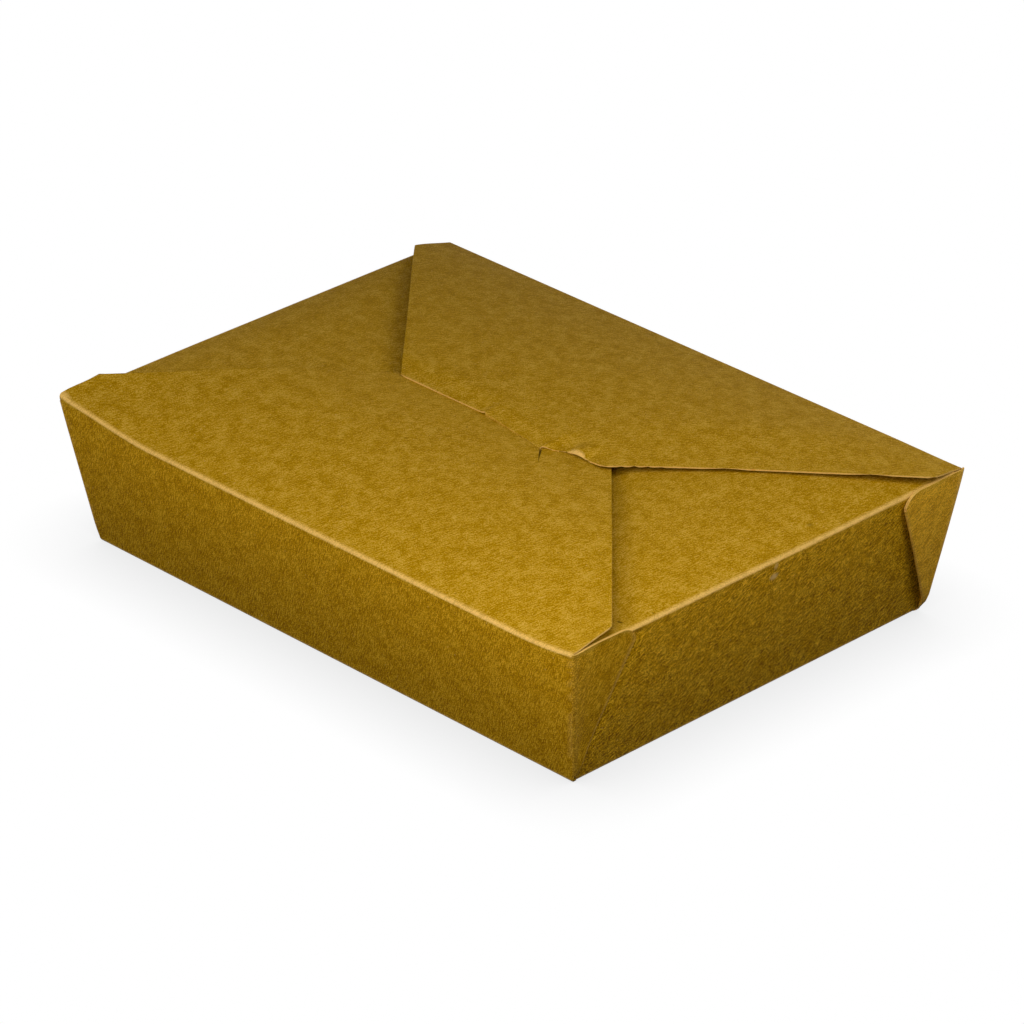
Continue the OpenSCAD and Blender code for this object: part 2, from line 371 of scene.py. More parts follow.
# %% [markdown]
# ## The tray
# The base and the four walls are folded first. A corner web joins each long wall to an end wall: it is a hairpin
# of board, folded flat against the outside of the end wall, widest at the rim and nothing at the base. Its top
# is cut off with a rounded corner, so there the two layers are separate. The near right web is pressed flush
# into the end wall, and the far right one stands off it, as in the photograph.

# %% Base and walls
tray = new_sheet()
END_INSET = 0.25
WEB_SLOPE = 0.6
BASE_WEAR = 0.3
PRESSED, PRESSED_CORNER = 0.85, (1, -1)
foot_x, foot_y = end_start[0], near_start[0]


def pressed(along, z):
    """How far the near right web is pressed into the end wall, so that it lies flush with it."""
    width = WEB_SLOPE * z
    return PRESSED * ease(z, 4, 14) * ease(along, 0, 0.35 * width + 1) * (1 - ease(along, width - 0.3, width + 1.2))


def fold_base(f, g):
    """The base, a little worn along its edge."""
    worn = BASE_WEAR if max(abs(f), abs(g)) > 0.999 else 0
    return (f * foot_x, g * foot_y, 0), (f * foot_x, g * foot_y), worn


def fold_long(f, row, start, runs, hand):
    """A long wall with its creases, on the near (-1) or far (+1) side."""
    distance, worn = row
    out, z = follow(start, runs, distance)
    half = min(RIM_L / 2, reach(BASE_L / 2, END_LEAN, z))
    return (f * half, hand * out, z), (f * half, hand * (start[0] + distance)), worn


def fold_end(g, row, hand):
    """An end wall with its creases, on the right (+1) or left (-1). The near right web is let into it."""
    distance, worn = row
    out, z = follow(end_start, end_runs, distance)
    half = min(RIM_W / 2, reach(BASE_W / 2, LONG_LEAN, z)) - (END_INSET if z > 0 else 0)
    if hand == PRESSED_CORNER[0] and g < 0:
        out -= pressed(reach(BASE_W / 2, LONG_LEAN, z) + g * half, z) * (1 - ease(z, 43, 45))
    return (hand * out, g * half, z), (hand * (end_start[0] + distance), g * half), worn


panel(tray, COLUMNS, CROSSINGS, fold_base, (0, 0, -1))
near_wall = panel(tray, COLUMNS, near_rows, lambda f, row: fold_long(f, row, near_start, near_runs, -1), (0, -1, 0.2))
far_wall = panel(tray, COLUMNS, far_rows[:-CREASE_ROWS + 1],
                 lambda f, row: fold_long(f, row, far_start, far_runs, 1), (0, 1, 0))
ends = [panel(tray, CROSSINGS, end_rows, lambda g, row, hand=hand: fold_end(g, row, hand), (hand, 0, 0.2))
        for hand in (1, -1)]
print("Base and walls:", len(tray.faces), "faces")

# %% Corner webs
WEB_WIDTH, WEB_R = 25.3, 5.0
PROBE_HEIGHT = 30.0
WEB_TOP, WEB_LEAST = 1.1, 1.3
HAIRPIN, HAIRPIN_FOOT, HAIRPIN_RUN = 0.96, 0.3, 6.0
STAND_RUN, STAND_LEAST, STAND_FADE = 5.0, 0.03, 0.7
BELLY_RISE, BELLY_FADE = 1.6, 0.8
CORNER_STEPS, LAYER_STEPS, TURN_STEPS, BACK_STEPS = 5, 12, 5, 6


def web_path(z, stand, belly, corner_wear, fold_wear, face_painted_light):
    """Across a web at height z: points (out from the end wall, along it from the corner) with their wear, and on the
    face painted light.
    They run round the corner, along the outer layer, round the folded edge and back under it."""
    thick = HAIRPIN_FOOT + (HAIRPIN - HAIRPIN_FOOT) * ease(z, 0, HAIRPIN_RUN)
    off = stand * ease(z, 0, STAND_RUN) * (1 - z / BOX_H) ** STAND_FADE + STAND_LEAST
    width = max(WEB_LEAST, WEB_SLOPE * z)
    above = z - (BOX_H - WEB_R)
    if above > 0:
        width = min(width, WEB_WIDTH - WEB_R + math.sqrt(max(0, WEB_R ** 2 - above ** 2)))
    corner, half = thick * 0.9, thick / 2
    swell = belly * math.sin(math.pi * min(1, z / BOX_H)) ** BELLY_FADE
    points = [(0, 0, 0.2)]
    for k in range(CORNER_STEPS + 1):
        a = math.pi / 2 * k / CORNER_STEPS
        points.append((off + thick - corner + corner * math.sin(a), corner * (1 - math.cos(a)), corner_wear))
    for k in range(1, LAYER_STEPS + 1):
        along = corner + (width - half - corner) * k / LAYER_STEPS
        lift = swell * (along / width) ** BELLY_RISE
        points.append((off + thick + lift, along, face_painted_light if k < LAYER_STEPS else fold_wear / 2))
    for k in range(1, TURN_STEPS + 1):
        a = math.pi * k / TURN_STEPS
        points.append((off + half + half * math.cos(a) + swell, width - half + half * math.sin(a), fold_wear))
    for k in range(1, BACK_STEPS):
        along = (width - half) * (1 - k / BACK_STEPS) + 1.0 * k / BACK_STEPS
        points.append((off + swell * (along / width) ** BELLY_RISE, along, 0.0))
    return points


WEB_COLUMNS = len(web_path(20, 0, 0, 0, 0, 0))
TURN_COLUMNS = range(1 + CORNER_STEPS + LAYER_STEPS, 1 + CORNER_STEPS + LAYER_STEPS + TURN_STEPS + 1)


def rounded(point):
    """A point as numbers that can be compared."""
    return tuple(round(c, 4) for c in point)


def add_web(sheet, right, far, habit, rows, start, runs):
    """A web at the corner on the side right (+1 or -1) and far (+1 or -1)."""
    paths, cut_away = {}, []
    straight_up = [*runs[:-1], (0, WEB_TOP)] if right > 0 else runs

    def fold(k, row):
        """Place of a point of the web from its place along the path and its station."""
        out, z = follow(start, straight_up, row[0])
        key = round(z, 4)
        if key not in paths:
            paths[key] = web_path(z, *habit)
        n, e, worn = paths[key][k]
        if (right, far) == PRESSED_CORNER:
            n -= pressed(e, z)
        a, b = reach(BASE_L / 2, END_LEAN, z), reach(BASE_W / 2, LONG_LEAN, z)
        if k in TURN_COLUMNS and z > BOX_H - WEB_R:
            cut_away.append(Vector((right * (a + n), far * (b - e), z)))
        walked = sum(math.hypot(q[0] - p[0], q[1] - p[1]) for p, q in zip(paths[key][:k], paths[key][1:k + 1]))
        return ((right * (a + n), far * (b - e), z), (right * (a + walked), far * (start[0] + row[0])), worn)

    used = rows[:-CREASE_ROWS - 1]
    if right > 0:
        used = rows[:-CREASE_ROWS + 1]
        used += [(used[-1][0] + WEB_TOP * share, 0.0) for share in (0.5, 1.0)]
    verts = panel(sheet, list(range(WEB_COLUMNS)), used, fold, None)
    faces = faces_at(verts)
    corner = Vector((right * RIM_L / 2, far * RIM_W / 2, PROBE_HEIGHT))
    probe = min(faces, key=lambda face: (face.calc_center_median() - corner).length)
    probe.normal_update()
    if probe.normal.dot(Vector((right, far, 0))) < 0:
        bmesh.ops.reverse_faces(sheet, faces=faces)
    gone = {rounded(point) for point in cut_away}
    opened = [face for face in faces if all(rounded(vert.co) in gone for vert in face.verts)]
    bmesh.ops.delete(sheet, geom=opened, context="FACES")
    return [vert for vert in verts if vert.is_valid]


# How far each web stands off, how far it bellies, the wear of its corner and of its folded edge, and the painted light
# on its face.
WEBS = {
    (1, -1): (0.0, 0.0, 0.1, 0.6, 0.0),
    # The far right web's face is painted paler, as painted light.
    (1, 1): (1.7, 0.5, 0.5, 0.4, 0.12),
    (-1, -1): (0.3, 1.0, 0.4, 0.4, 0.0),
    (-1, 1): (0.6, 0.8, 0.4, 0.4, 0.0),
}
for (right, far), habit in WEBS.items():
    wall, rows, start, runs = ((near_wall, near_rows, near_start, near_runs) if far < 0
                               else (far_wall, far_rows, far_start, far_runs))
    web = add_web(tray, right, far, habit, rows, start, runs)
    weld(tray, wall, web)
print("With the corner webs:", len(tray.faces), "faces")

# %% [markdown]
# ## Flaps of the tray
# The end flaps close first, then the near flap over them. The near flap has the slit that takes the tongue, with
# a short slanting cut at its right end. Both are knifed while the flap is flat: `bisect_plane` draws the line,
# `split_edges` parts the board there, and the lips are moved a little apart. The end flaps give way a little
# where the long flaps press on them, so that light and shade fall along those edges as they do on real board.

# %% End flaps
END_TAPER, END_CORNER = 33.0, 8.0
SHOULDER = 15.4
DIAGONAL_OUT = Vector((RIM_W / 2 - SHOULDER + LID_PAST, LID_LIP - RIM_L / 2)).normalized()
NEAR_LIP = 77.5 / 2
NEAR_OUT = Vector((RIM_W / 2 - SHOULDER + NEAR_PAST, RIM_L / 2 - NEAR_LIP)).normalized()
RIGHT_DIP, LEFT_DIP, LEFT_UNDER, UNDER_LID = 1.6, 1.4, 2.2, 0.2


def end_dip(hand, d, y):
    """How far an end flap gives way at depth d from its rim, under the flaps that lie over it."""
    outside = (Vector((END_X - d, y)) - Vector((LID_LIP, -LID_PAST))).dot(DIAGONAL_OUT)
    outside_near = (Vector((END_X - d, y)) - Vector((NEAR_LIP, NEAR_PAST))).dot(NEAR_OUT)
    if hand < 0:
        hidden = LEFT_UNDER * (1 - ease(outside_near, -7, 0)) * ease(d, 1, 5)
        return max(hidden, LEFT_DIP * (1 - ease(outside, -1, 8)) * ease(d, 2, 10))
    covered = max(1 - ease(outside_near, 1, 8), UNDER_LID * (1 - ease(outside, -2, 6)))
    return RIGHT_DIP * covered * ease(d, 1, 9)


def end_flap(sheet, hand):
    """The end flap on the right (+1) or left (-1), cut, bowed and placed at its crease."""
    root = end_bow[2] * math.cos(end_bow[1])
    wide = RIM_W / 2 - END_INSET
    narrow = RIM_W / 2 - END_TAPER
    taper, depth = END_TAPER - RIM_L / 2 + END_X, END_DEPTH - RIM_L / 2 + END_X
    outline = [(root, -wide, 0), (root, wide, 0), (FOLD_R + 0.1, wide, 0), (taper, narrow, END_CORNER),
               (depth, narrow, END_CORNER), (depth, -narrow, END_CORNER), (taper, -narrow, END_CORNER),
               (FOLD_R + 0.1, -wide, 0)]
    columns = [root + WEAR_MARGIN, *lines(root + WEAR_MARGIN, depth, RULE)]
    geom = cut_flap(sheet, outline, columns, [g * wide for g in CROSSINGS[1:-1]])
    blank, wear = layers_of(sheet)
    start = end_start[0] + end_rows[-1][0]
    for vert in verts_of(geom):
        d, y = vert.co.x, vert.co.y
        vert[wear] = root_wear(d, root)
        vert[blank] = (hand * (start + d - root), y, 0)
        vert.co = (hand * (END_X - d), y, BOX_H - END_DROP + bow_height(end_bow, d) - end_dip(hand, d, y))
    turn_up(geom)
    return verts_of(geom)


for hand, wall in zip((1, -1), ends):
    weld(tray, wall, end_flap(tray, hand))
print("With the end flaps:", len(tray.faces), "faces")

# %% The left end stands a little higher
LEFT_LIFT, LIFT_FROM, LIFT_TO, LIFT_FADE, LIFT_END = 2.3, 66, 104, 66, 80


def left_lift(x, y):
    """How much higher the left end stands, apart from the crease of the lid."""
    return LEFT_LIFT * ease(-x, LIFT_FROM, LIFT_TO) * (1 - ease(y, LIFT_FADE, LIFT_END))


# %% Near flap
CURL, CURL_FROM, CURL_TO, CURL_END = 1.0, 84, 105, 42
ROOT_A, ROOT_B = Vector((-6.4, -3.0, 0)), Vector((20.0, -7.0, 0))
CUT_END = ROOT_B + Vector((7.0, -7.8, 0))
KNIFE_REACH, KNIFE_MARGIN, ON_LINE = 1.6, 1.5, 0.002


def knife(sheet, geom, a, b):
    """Cuts a flat flap along the line from a to b, and returns its parts and the edges of the cut."""
    along = (b - a).normalized()
    square = left_of(along)

    def near(face, margin):
        """Whether a face lies close enough to the line to be cut."""
        offset = face.calc_center_median() - a
        return -margin < offset.dot(along) < (b - a).length + margin and abs(offset.dot(square)) < KNIFE_REACH + margin

    for point, normal in ((a, along), (b, along), (a, square)):
        faces = [face for face in faces_of(geom) if near(face, KNIFE_MARGIN if normal is along else 0.0)]
        local = list({part for face in faces for part in (face, *face.edges, *face.verts)})
        made = bmesh.ops.bisect_plane(sheet, geom=local, plane_co=point, plane_no=normal, dist=0.001)["geom"]
        geom = list({part for part in [*geom, *made] if part.is_valid})
    edges = set()
    for part in geom:
        if isinstance(part, bmesh.types.BMEdge):
            ts = [(vert.co - a).dot(along) for vert in part.verts]
            offs = [abs((vert.co - a).dot(square)) for vert in part.verts]
            if max(offs) < ON_LINE and min(ts) > -ON_LINE and max(ts) < (b - a).length + ON_LINE:
                edges.add(part)
    return geom, list(edges)


near_root = near_bow[2] * math.cos(near_bow[1])
wide = RIM_L / 2
mid = RIM_W / 2
outline = [(-wide, near_root - mid, 0), (wide, near_root - mid, 0), (wide, SHOULDER - mid, 1.0),
           (NEAR_LIP, NEAR_DEPTH - mid, 1.0), (-NEAR_LIP, NEAR_DEPTH - mid, 1.0), (-wide, SHOULDER - mid, 1.0)]
rows = [near_root - mid + WEAR_MARGIN, *lines(near_root - mid + WEAR_MARGIN, -16, RULE),
        *lines(-17, 3, NEAR_LOCK_RULE)]
geom = cut_flap(tray, outline, [f * wide for f in COLUMNS[1:-1]], rows)
geom, slit = knife(tray, geom, ROOT_A, ROOT_B)
geom, cut = knife(tray, geom, ROOT_B, CUT_END)
lips = bmesh.ops.split_edges(tray, edges=[edge for edge in [*slit, *cut] if edge.is_valid])["edges"]
geom = list({part for part in [*geom, *lips, *[v for e in lips for v in e.verts]] if part.is_valid})
print("Slit:", len(slit), "edges, slanting cut:", len(cut), "edges")

# %% Open the lips of the slit, then bow the near flap
SLIT_BACK, SLIT_FRONT, CUT_OPEN = 0.75, 0.02, 0.75
CUT_TAPER, CUT_BACK = 1.3, 0.15
LIP_REACH, LIP_MARGIN = 0.003, 0.01


def open_lips(verts):
    """Moves the lips of the slit and of the slanting cut apart, while the flap is flat."""
    along, slant = (ROOT_B - ROOT_A).normalized(), (CUT_END - ROOT_B).normalized()
    slit_length, cut_length = (ROOT_B - ROOT_A).length, (CUT_END - ROOT_B).length
    square, side_on = left_of(along), left_of(slant)
    moves = []
    for vert in verts:
        centre = sum((face.calc_center_median() for face in vert.link_faces), Vector()) / max(1, len(vert.link_faces))
        t, u = (vert.co - ROOT_A).dot(along), (vert.co - ROOT_B).dot(slant)
        on_slit = abs((vert.co - ROOT_A).dot(square)) < LIP_REACH and LIP_MARGIN < t < slit_length + LIP_MARGIN
        on_cut = abs((vert.co - ROOT_B).dot(side_on)) < LIP_REACH and -LIP_MARGIN < u < cut_length - LIP_MARGIN
        if on_slit:
            above = (centre - vert.co).dot(square) > 0
            moves.append((vert, square * (SLIT_BACK if above else -SLIT_FRONT * t / slit_length)))
        if on_cut:
            share = (1 - u / cut_length) ** CUT_TAPER
            rightward = (centre - vert.co).dot(side_on) > 0
            moves.append((vert, side_on * CUT_OPEN * share * (1 if rightward else -CUT_BACK)))
    for vert, move in moves:
        vert.co += move
    return len(moves)


print("Lips moved:", open_lips(verts_of(geom)))
blank, wear = layers_of(tray)
near_len = near_start[0] + near_rows[-1][0]
for vert in verts_of(geom):
    x, y = vert.co.x, vert.co.y
    d = y + mid
    vert[wear] = root_wear(d, near_root)
    vert[blank] = (x, -(near_len + d - near_root), 0)
    level = left_lift(x, y) * ease(d, near_root, SHOULDER)
    curl = CURL * ease(-x, CURL_FROM, CURL_TO) * ease(d, 3, SHOULDER) * (1 - ease(d, SHOULDER + 3, CURL_END))
    vert.co = (x, y, BOX_H + bow_height(near_bow, d) - level + curl)
turn_up(geom)
weld(tray, near_wall, verts_of(geom))
weld(tray, [vert for vert in tray.verts if abs(vert.co.z) < 0.001])
print("The whole tray:", len(tray.faces), "faces")

# %% [markdown]
# ## The lid flap
# The lid flap is cut like the near flap, with the root of its tongue along a slanting line. Where the tongue goes
# down through the slit, the lid sinks until it lies level with the near flap, and beside it the lid's front lip is
# pressed down on the near flap, with a painted highlight along its edge. To the right of the tongue the edge is
# crushed into a small crescent, painted pale: partly the paler crushed board, partly a painted highlight. The
# tongue is extruded from its root line, downwards through the slit.

# %% Lid flap and its crease
lid = new_sheet()
lid_root = lid_bow[2] * math.cos(lid_bow[1])
HOOK_X, HOOK_END = 27.0, 35.0
ROOT_ROUND = 0.12


outline = [(-wide, mid - lid_root, 0), (-wide, mid - SHOULDER, 1.0), (-LID_LIP, -LID_PAST, 0.8),
           (ROOT_A.x, ROOT_A.y + ROOT_ROUND, 0), (ROOT_B.x, ROOT_B.y + ROOT_ROUND, 0), (HOOK_X, -LID_PAST, 0.8),
           (HOOK_END, -LID_PAST + 0.25, 0), (LID_LIP, -LID_PAST, 1.5), (wide, mid - SHOULDER, 1.0),
           (wide, mid - lid_root, 0)]
across = [f * wide for f in COLUMNS[1:-1]] + lines(ROOT_A.x - 4, LID_LIP, LOCK_RULE_ACROSS)
rows = [mid - lid_root - WEAR_MARGIN, *lines(10, mid - lid_root - WEAR_MARGIN, RULE),
        *lines(-8, 11, LID_LOCK_RULE)]
geom = cut_flap(lid, outline, sorted(across), rows)
crease = panel(lid, COLUMNS, far_rows[-CREASE_ROWS:],
               lambda f, row: fold_long(f, row, far_start, far_runs, 1), (0, 1, 1))
print("Lid flap, cut and ruled:", len(faces_of(geom)), "faces")

# %% Bow the lid, sink it at the tongue and crush the edge beside it
SINK, SINK_RUN = 0.73, 7.0
# The lid's front edge is painted pale along its top: a painted highlight.
LIP_PRESS, LIP_RUN, LIP_PAINTED_HIGHLIGHT = 0.98, 10.0, 0.4
# The crushed crescent is painted pale: partly the paler crushed board, partly a painted highlight.
CRUSH, CRUSH_PALE_AND_HIGHLIGHT, HOOK_HUMP, HOOK_DEEP, HOOK_FREE = 1.0, 1.35, 0.6, 2.1, 0.75


def root_side(x, y):
    """Distance of a plan point behind the tongue's root line, and its place along that line from 0 to 1."""
    along = (ROOT_B - ROOT_A).normalized()
    offset = Vector((x, y, 0)) - ROOT_A
    return offset.dot(left_of(along)), offset.dot(along) / (ROOT_B - ROOT_A).length


def hook_rim(t):
    """Upper limit of the crushed crescent, at a share t of its length."""
    return -LID_PAST + HOOK_DEEP * math.sin(math.pi * t) ** 0.7 * (1 - 0.3 * t)


def lid_dip(x, y):
    """How far the lid lies below its plain bow near the lock."""
    behind, share = root_side(x, y)
    beside = ease(share, -0.08, 0.06) * (1 - ease(x, ROOT_B.x - 0.15, ROOT_B.x + 0.5))
    sunk = SINK * (1 - ease(behind, 0, SINK_RUN)) * beside
    lip_left = 1 - ease(x, ROOT_A.x - 2.2, ROOT_A.x + 1.4)
    lip_right = ease(x, ROOT_B.x + 0.5, ROOT_B.x + 4) * (1 - ease(x, 33, 45))
    t = (x - HOOK_X) / (HOOK_END - HOOK_X)
    press = LIP_PRESS * (1 - HOOK_FREE * math.sin(math.pi * min(1, max(0, t))))
    sunk = max(sunk, press * (1 - ease(y + LID_PAST, 0, LIP_RUN)) * max(lip_left, lip_right))
    if 0 < t < 1:
        rim = hook_rim(t)
        hump = HOOK_HUMP * math.sin(math.pi * t)
        sunk += hump * ease(y, rim, rim + 6) - hump
        if y < rim:
            sunk += (CRUSH * math.sin(math.pi * t) ** 0.6) * (rim - y) / (rim + LID_PAST)
    return sunk


blank, wear = layers_of(lid)
far_len = far_start[0] + far_rows[-1][0]
for vert in verts_of(geom):
    x, y = vert.co.x, vert.co.y
    d = mid - y
    t = (x - HOOK_X) / (HOOK_END - HOOK_X)
    # Crushed crescent: partly paler crushed board, partly painted highlight.
    crushed_and_highlight = CRUSH_PALE_AND_HIGHLIGHT * ease(hook_rim(t) - y, 0.1, 0.9) if 0 < t < 1 else 0.0
    # Painted highlight along the lid's front edge.
    lip = LIP_PAINTED_HIGHLIGHT if y < -LID_PAST + 0.05 and (x < ROOT_A.x - 0.5 or x > HOOK_X) else 0.0
    vert[wear] = max(root_wear(d, lid_root), crushed_and_highlight, lip)
    vert[blank] = (x, far_len + d - lid_root, 0)
    vert.co = (x, y, BOX_H + bow_height(lid_bow, d) - lid_dip(x, y))
turn_up(geom)

# %% Extrude the tongue from its root
TONGUE_WEAR = 0.2
# Each step moves the edge out and down and narrows it.
TONGUE_STEPS = [(-0.07, -0.05, 0.0), (-0.03, -0.5, 0.0), (-0.02, -3.6, 0.0), (0.0, -3.4, 1.2), (0.0, -0.9, 1.3)]
edge_side = [edge for edge in lid.edges if edge.is_boundary and all(
    -0.01 < root_side(*vert.co.xy)[1] < 1.01 and abs(root_side(*vert.co.xy)[0] - ROOT_ROUND) < 0.1
    for vert in edge.verts)]
square = left_of(ROOT_B - ROOT_A).normalized()
centre = (ROOT_A + ROOT_B) / 2
for out, down, pinch in TONGUE_STEPS:
    made = bmesh.ops.extrude_edge_only(lid, edges=edge_side)["geom"]
    moved = [part for part in made if isinstance(part, bmesh.types.BMVert)]
    edge_side = [part for part in made if isinstance(part, bmesh.types.BMEdge)
                 and all(vert in moved for vert in part.verts)]
    bmesh.ops.translate(lid, vec=square * out + Vector((0, 0, down)), verts=moved)
    half = max(abs(vert.co.x - centre.x) for vert in moved)
    for vert in moved:
        vert.co.x += -pinch * (vert.co.x - centre.x) / half
        vert[blank] = (vert[blank][0], vert[blank][1] + abs(down), 0)
        vert[wear] = TONGUE_WEAR
weld(lid, crease, verts_of(geom))
bmesh.ops.recalc_face_normals(lid, faces=lid.faces)
if max(lid.faces, key=lambda face: face.calc_area()).normal.z < 0:
    bmesh.ops.reverse_faces(lid, faces=lid.faces)
print("The whole lid flap:", len(lid.faces), "faces")

# %% [markdown]
# ## What handling does to it
# No folded box is as straight as its drawing. The near rim is pressed out and down along its middle, the left end
# stands a little high, the lid is flattened towards its right slanting edge, and all the board is a little wavy.
# These are smooth moves of the finished sheets, the same for every panel that they pass, so nothing comes apart.

# %% Settle the sheets
RIM_OUT, RIM_DOWN, SAG_RIGHT, SAG_LEFT = 0.1, 1.7, 0.1, 0.8
WAVE, WAVE_LENGTH = 0.10, 26.0
SIDE_START, SIDE_END = Vector((LID_LIP, -LID_PAST)), Vector((wide, mid - SHOULDER))
SIDE_SINK, SHOULDER_SINK, SIDE_REACH = 1.7, 0.5, 30.0
END_BULGE, LEFT_CORNER_OUT = 0.5, 0.7
SHOULDER_RIGHT, SHOULDER_LEFT, SHOULDER_BACK, SHOULDER_UP = 1.6, 0.9, 0.7, 0.6


def rim_sag(x):
    """How much the near rim is pressed, from nothing at its corners to 1 along its middle."""
    t = (RIM_L / 2 - x) / RIM_L
    right = 1 - (1 - min(1, t / SAG_RIGHT)) ** 2
    left = math.sqrt(max(0, 1 - max(0, (t - SAG_LEFT) / (1 - SAG_LEFT)) ** 2))
    return right * left


def wave(p):
    """Slight waviness of the board, strongest away from its creases."""
    return WAVE * noise.noise(Vector(p) / WAVE_LENGTH)


def settle_tray(p):
    """The near rim is pressed out and down, the end walls bulge and the left end stands a little high."""
    x, y, z = p
    up = ease(z, 0, BOX_H) if z < BOX_H else 1.0
    press = rim_sag(x) * up * (1 - ease(y, -79, -25))
    bulge = END_BULGE * math.sin(math.pi * (y / RIM_W + 0.5)) * up * ease(x, 60, 105)
    left = left_lift(x, y) * up
    corner_out = LEFT_CORNER_OUT * ease(-x, 90, 105) * (1 - ease(y, -79, -68)) * up
    return Vector((x + bulge - corner_out, y - RIM_OUT * press, z - RIM_DOWN * press + left))


def on_floor(p):
    """The point, but not below the floor."""
    return Vector((p.x, p.y, max(p.z, 0.0)))


def settle_lid(p):
    """The right slanting edge of the lid runs almost straight, because the lid is flattened towards it."""
    x, y, z = p
    side_on = SIDE_END - SIDE_START
    along = side_on.normalized()
    offset = Vector((x, y)) - SIDE_START
    share, inside = offset.dot(along) / side_on.length, offset.dot(Vector((-along.y, along.x)))
    near_edge = 1 - ease(inside, 0, SIDE_REACH)
    hollow = math.sin(math.pi * min(1, max(0, share))) ** 0.9
    sink = near_edge * (SIDE_SINK * hollow + SHOULDER_SINK * ease(share, 0, 1) * (1 - ease(share, 1.0, 1.2)))
    d = mid - y
    corner = ease(d, 0, SHOULDER) * (1 - ease(d, 25, 80))
    right, left = ease(x, 55, 105), ease(-x, 55, 105)
    return Vector((x + corner * (SHOULDER_RIGHT * right - SHOULDER_LEFT * left), y + SHOULDER_BACK * corner * right,
                   z - sink + SHOULDER_UP * left * corner))


for sheet, settle in ((tray, settle_tray), (lid, settle_lid)):
    for vert in sheet.verts:
        vert.co = settle(vert.co)
    sheet.normal_update()
    shifts = [(vert, vert.normal * wave(vert.co) * ease(vert.co.z, 0.5, 6)) for vert in sheet.verts]
    for vert, shift in shifts:
        vert.co = on_floor(vert.co + shift * (1 - vert[sheet.verts.layers.float["wear"]]))
print("Settled by up to", max(RIM_DOWN, SIDE_SINK, LEFT_LIFT), "mm, with a waviness of", WAVE, "mm")

# %% [markdown]
# ## The material
# Unbleached kraft board is pressed from long brown fibres, with no dye. The eye sees cloudy patches a few
# millimetres wide, streaks where the fibres lie along the sheet, a fine grain and a few stray flecks. Where the
# board was creased, the crushed fibres are paler. The patterns read the flat blank, so that they run over
# the folds as they do on the real sheet. A few small functions keep the node trees short to write.

# %% Colours and nodes
def linear(hex_colour):
    """Linear colour of an sRGB hex value."""
    parts = [int(hex_colour[i:i + 2], 16) / 255 for i in (1, 3, 5)]
    return (*[c / 12.92 if c <= 0.04045 else ((c + 0.055) / 1.055) ** 2.4 for c in parts], 1)


def fresh_tree(owner):
    """The emptied node tree of a material or a world."""
    owner.use_nodes = True
    owner.node_tree.nodes.clear()
    return owner.node_tree


def add_node(tree, kind, inputs=None, **settings):
    """One node with its settings, and its inputs by name or number: a value, or the output that feeds it."""
    made = tree.nodes.new(kind)
    for name, value in settings.items():
        setattr(made, name, value)
    for name, value in (inputs or {}).items():
        if isinstance(value, bpy.types.NodeSocket):
            tree.links.new(value, made.inputs[name])
        else:
            made.inputs[name].default_value = value
    return made


def maths(tree, operation, *values, **settings):
    """Result of one math node, from numbers or the outputs that feed it."""
    return add_node(tree, "ShaderNodeMath", dict(enumerate(values)), operation=operation, **settings).outputs[0]


def mapped(tree, value, low, high, to_low=0.0, to_high=1.0, **settings):
    """A value that runs from low to high, mapped so that it runs from to_low to to_high and stays there."""
    return add_node(tree, "ShaderNodeMapRange", {"Value": value, "From Min": low, "From Max": high,
                                                 "To Min": to_low, "To Max": to_high}, **settings).outputs[0]


def vector_maths(tree, operation, *values):
    """Node that calculates with vectors."""
    return add_node(tree, "ShaderNodeVectorMath", dict(enumerate(values)), operation=operation)


def mixed_colour(tree, share, first, second, **settings):
    """Colour between two others."""
    return add_node(tree, "ShaderNodeMix", {"Factor": share, "A": first, "B": second}, data_type="RGBA",
                    **settings).outputs["Result"]


# %% [markdown]
# ## Kraft board
# Three noises make the board: clouds where the pulp is thicker, fibres stretched along the way that the sheet ran
# through the mill, and a fine grain. Their sum picks a colour between three browns. The fibres are turned on
# each panel as the photograph shows them, which the place on the flat blank tells: the end panels begin at a
# line that slants as the corner fold does, and the webs begin beyond the long creases. The walls are a little
# yellower and rougher than the flaps, with painted shade that darkens them towards the base and lightens them
# towards the rim. The far webs are painted paler, as painted light. Creases are rubbed pale in patches, where the
# fibres tore. Last come the marks: the scuff on the right end wall, stray dark fibres, a dull spot, a nick in
# the lid's edge and the left corner, rubbed pale and given a painted highlight, each at its own place on the
# blank, with the grain to fray its outline.

# %% Sizes of the patterns, in millimetres, and how strongly each shows
KRAFT_DARK, KRAFT_MID, KRAFT_PALE = "#996f00", "#b48704", "#cba13a"
CREASE_COLOUR, FLECK_DARK, FLECK_PALE = "#eec068", "#6a4c02", "#dcb668"
CLOUD_MM, FIBRE_LONG_MM, FIBRE_WIDE_MM, GRAIN_MM, FLECK_MM = 5.0, 2.2, 0.38, 0.45, 3.2
CLOUD_SHARE, FIBRE_SHARE, GRAIN_SHARE = 0.75, 1.2, 1.9
TONE_LOW, TONE_HIGH, FINE_MIDDLE = 1.665, 2.185, 1.55
FIBRE_TURN_LONG, FIBRE_TURN_END, FIBRE_TURN_END_FLAP = math.radians(-65), math.radians(60), math.radians(98)
FIBRE_TURN_WEB = math.radians(-40)
# Places on the blank are in metres, as the UV map gives them.
WALL_SPAN_X, WALL_SPAN_Y, WEB_SPAN_Y = 0.1437, 0.1188, 0.0745
CORNER_SLANT = (RIM_L - BASE_L) / 2 / (BOX_H / math.cos(LONG_LEAN))
WALL_BLEND = 0.0015
# The walls are painted darker towards the base and lighter towards the rim: painted shade.
WALL_CONTRAST, END_WALL_CONTRAST, WALL_PAINTED_SHADE = 0.45, 1.7, 0.15
